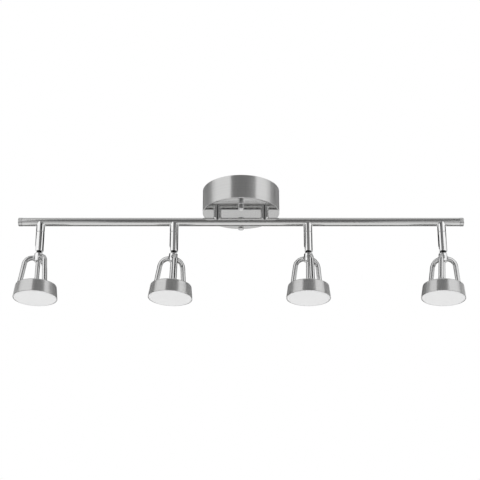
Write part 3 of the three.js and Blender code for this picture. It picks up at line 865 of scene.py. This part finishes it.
def make_diffuser(number):
    """An opal disc: a flat face, a fine step near its edge, and a rounded border past the rim."""
    radius = HOUSING_RIM_RADIUS - RIM_WALL - DIFFUSER_PLAY
    face = RIM - DIFFUSER_PROUD
    corners = [
        (0, face, 0),
        (radius - 3.6 * MM, face, 0.15 * MM),
        (radius - 3.3 * MM, face + 0.3 * MM, 0.15 * MM),
        (radius - 1 * MM, face + 0.35 * MM, 1.2 * MM),
        (radius, face + 1.6 * MM, 0.6 * MM),
        (radius, face + DIFFUSER_THICKNESS, 0),
        (0, face + DIFFUSER_THICKNESS, 0),
    ]
    head_piece("opal_disc", number, corners, "diffuser", OPAL, sides=160)


# ---- Nodes that keep their shape -------------------------------------------------------

def finish_hidden_nodes():
    """Gives the hidden nodes, which keep their own shape, their materials."""
    finishes = {
        "mounting_bracket": ZINC,
        "ground_screw": ZINC,
        "front_stud": ZINC,
        "rear_stud": ZINC,
        "left_post_nut": ZINC,
        "right_post_nut": ZINC,
        "led_driver": WHITE_PLASTIC,
        "terminal_block": IVORY_PLASTIC,
    }
    for number in HEADS:
        finishes[f"swivel_nut_{number}"] = ZINC
        finishes[f"tube_nut_{number}"] = ZINC
        finishes[f"led_board_{number}"] = BOARD
    for name, material in finishes.items():
        mesh = frame["nodes"][name].data
        mesh.materials.clear()
        mesh.materials.append(material)


# ---- Stage -----------------------------------------------------------------------------

SIDES_LOW, SIDES_HIGH = -0.62, 1.05  # heights of the lowest and highest edges of the side cards
SOFTBOX_LOW = -0.12
WALL_HIGH = 0.66
BACK_LOW = -0.7
BAND_LOW = -0.22
FRONT_FLAG_LOW, FRONT_FLAG_HIGH, FRONT_TOP = 0.12, 0.36, 1.0
BLACK, DEEP_BLACK = 0.01, 0.002  # brightness of the cards
LOW_GREY, FRONT_GREY, TOP_GREY, WALL_GREY = 0.24, 0.22, 0.6, 0.85


def grey_card(name, corners, brightness):
    """A flat card of one even brightness that only metal and gloss show."""
    mesh = bpy.data.meshes.new(name)
    mesh.from_pydata(corners, [], [tuple(range(len(corners)))])
    material = bpy.data.materials.new(name)
    material.use_nodes = True
    tree = material.node_tree
    tree.nodes.clear()
    glow = node(tree, "ShaderNodeEmission", {"Color": (brightness,) * 3 + (1,), "Strength": 1.0})
    output = tree.nodes.new("ShaderNodeOutputMaterial")
    tree.links.new(glow.outputs["Emission"], output.inputs["Surface"])
    mesh.materials.append(material)
    card = bpy.data.objects.new(name, mesh)
    bpy.context.collection.objects.link(card)
    card.visible_camera = False
    card.visible_diffuse = False
    card.visible_shadow = False


def upright_card(name, start, end, low, high, brightness):
    """A standing card over a line on the floor plan, between two heights."""
    corners = [(*start, low), (*end, low), (*end, high), (*start, high)]
    grey_card(name, corners, brightness)


def make_stage():
    """Flags in front and behind, with softboxes between them, as metal is lit in a studio."""
    for side, toward in (("left", -1), ("right", 1)):
        edge, corner, back = (1.3 * toward, -0.12), (1.1 * toward, 0.75), (0.6 * toward, 1.25)
        front = (0.45 * toward, -0.96)
        near, far = (0.32 * toward, -0.91), (0.66 * toward, -0.91)
        slim_start, slim_end = (1.23 * toward, 0.12), (1.07 * toward, 0.73)
        upright_card(f"{side}_softbox", front, edge, SOFTBOX_LOW, SIDES_HIGH, 1.1)
        upright_card(f"{side}_low_wing", front, edge, SIDES_LOW, SOFTBOX_LOW, LOW_GREY)
        upright_card(f"{side}_low_wall", edge, corner, SIDES_LOW, SOFTBOX_LOW, LOW_GREY)
        upright_card(f"{side}_wall", edge, corner, SOFTBOX_LOW, WALL_HIGH, WALL_GREY)
        upright_card(f"{side}_high_wall", edge, corner, WALL_HIGH, SIDES_HIGH, TOP_GREY)
        upright_card(f"{side}_slim_flag", slim_start, slim_end, 0.3, WALL_HIGH, BLACK)
        upright_card(f"{side}_back_wall", corner, back, BACK_LOW, 0.3, WALL_GREY)
        upright_card(f"{side}_back_flag", corner, back, 0.3, 0.64, BLACK)
        upright_card(f"{side}_back_gap", corner, back, 0.64, 0.76, TOP_GREY)
        upright_card(f"{side}_high_back_flag", corner, back, 0.76, SIDES_HIGH, BLACK)
        upright_card(f"{side}_front_fill", near, far, SIDES_LOW, FRONT_FLAG_LOW, 0.42)
    back_left, back_right = (-0.6, 1.25), (0.6, 1.25)
    upright_card("back_wall", back_left, back_right, BACK_LOW, 0.2, 0.7)
    upright_card("back_flag", back_left, back_right, 0.2, SIDES_HIGH, BLACK)
    band_left, flag_left, flag_right, wing = (-0.32, -0.9), (-0.66, -0.9), (0.32, -0.9), (0.6, -0.62)
    upright_card("low_front_flag", band_left, flag_right, SIDES_LOW, BAND_LOW, 0.04)
    upright_card("front_band", band_left, flag_right, BAND_LOW, FRONT_FLAG_LOW, 0.32)
    upright_card("front_flag", flag_left, flag_right, FRONT_FLAG_LOW, FRONT_FLAG_HIGH, FRONT_GREY)
    upright_card("front_flag_wing", flag_right, wing, FRONT_FLAG_LOW, FRONT_FLAG_HIGH, FRONT_GREY)
    upright_card("high_front_flag", flag_left, flag_right, FRONT_FLAG_HIGH, FRONT_TOP, DEEP_BLACK)
    upright_card("high_front_flag_wing", flag_right, wing, FRONT_FLAG_HIGH, FRONT_TOP, DEEP_BLACK)
    low_back = [(-1.4, 1.25, -0.72), (1.4, 1.25, -0.72), (1.4, 0.62, -1.3), (-1.4, 0.62, -1.3)]
    grey_card("low_back_flag", low_back, 0.03)
    above = [(-1.4, -0.97), (1.4, -0.97), (1.4, 1.3), (-1.4, 1.3)]
    grey_card("top_card", [(*place, SIDES_HIGH) for place in above], TOP_GREY)


def make_floor():
    """A plain pale floor well below the light."""
    half, height = 6, -2.4
    corners = [(-half, -half), (half, -half), (half, half), (-half, half)]
    mesh = bpy.data.meshes.new("floor")
    mesh.from_pydata([(*corner, height) for corner in corners], [], [(0, 1, 2, 3)])
    material, _, shader = new_material("pale floor")
    shader.inputs["Base Color"].default_value = (0.86, 0.86, 0.86, 1)
    shader.inputs["Roughness"].default_value = 0.9
    mesh.materials.append(material)
    floor = bpy.data.objects.new("floor", mesh)
    bpy.context.collection.objects.link(floor)


def make_world():
    """White where it is seen, in metal and glass as well, and a plain soft light on everything else."""
    world = bpy.data.worlds.new("studio")
    bpy.context.scene.world = world
    world.use_nodes = True
    tree = world.node_tree
    tree.nodes.clear()
    path = tree.nodes.new("ShaderNodeLightPath")
    seen = path.outputs["Is Camera Ray"]
    for other in ("Is Glossy Ray", "Is Transmission Ray"):
        both = tree.nodes.new("ShaderNodeMath")
        both.operation = "MAXIMUM"
        tree.links.new(seen, both.inputs[0])
        tree.links.new(path.outputs[other], both.inputs[1])
        seen = both.outputs["Value"]
    soft = node(tree, "ShaderNodeBackground", {"Color": (1, 1, 1, 1), "Strength": 0.94})
    white = node(tree, "ShaderNodeBackground", {"Color": (1, 1, 1, 1), "Strength": 1.0})
    mix = tree.nodes.new("ShaderNodeMixShader")
    tree.links.new(seen, mix.inputs["Fac"])
    tree.links.new(soft.outputs["Background"], mix.inputs[1])
    tree.links.new(white.outputs["Background"], mix.inputs[2])
    output = tree.nodes.new("ShaderNodeOutputWorld")
    tree.links.new(mix.outputs["Shader"], output.inputs["Surface"])


def make_lamps():
    """One broad soft lamp high in front of the light, and one low behind it."""
    lamps = (("front_lamp", (0.3, -2.6, 1.6), 18), ("low_lamp", (0, 1.2, -1.8), 8))
    aim = Vector((0, 0, -0.1))
    for name, place, energy in lamps:
        lamp = bpy.data.lights.new(name, "AREA")
        lamp.energy = energy
        lamp.size = 1.6
        made = bpy.data.objects.new(name, lamp)
        made.location = place
        made.rotation_euler = (aim - Vector(place)).to_track_quat("-Z", "Y").to_euler()
        made.visible_glossy = False
        bpy.context.collection.objects.link(made)


def make_camera():
    """Below the light and in front of it, looking up."""
    pitch = radians(23.3)
    distance = 2.313
    ahead = Vector((0, cos(pitch), sin(pitch)))
    up = Vector((0, -sin(pitch), cos(pitch)))
    camera = bpy.data.cameras.new("camera")
    camera.lens = 105
    camera.sensor_width = 36
    made = bpy.data.objects.new("camera", camera)
    made.location = Vector((-1.7 * MM, 0, BAR_AXIS)) - ahead * distance - up * 29.5 * MM
    made.rotation_euler = (pi / 2 + pitch, 0, 0)
    bpy.context.collection.objects.link(made)
    bpy.context.scene.camera = made


make_canopy()
make_bar()
for bar_end, toward in (("left", -1), ("right", 1)):
    make_bar_cap(bar_end, toward)
    make_post(bar_end)
for nut_side in ("front", "rear"):
    make_cap_nut(nut_side)
for head in HEADS:
    make_collar(head)
    make_sleeve(head)
    make_pin(head)
    make_knuckle(head)
    make_hub(head)
    make_legs(head)
    make_wire_tube(head)
    make_housing(head)
    make_diffuser(head)
finish_hidden_nodes()
make_stage()
make_floor()
make_world()
make_lamps()
make_camera()
bpy.context.scene.view_settings.view_transform = "Standard"
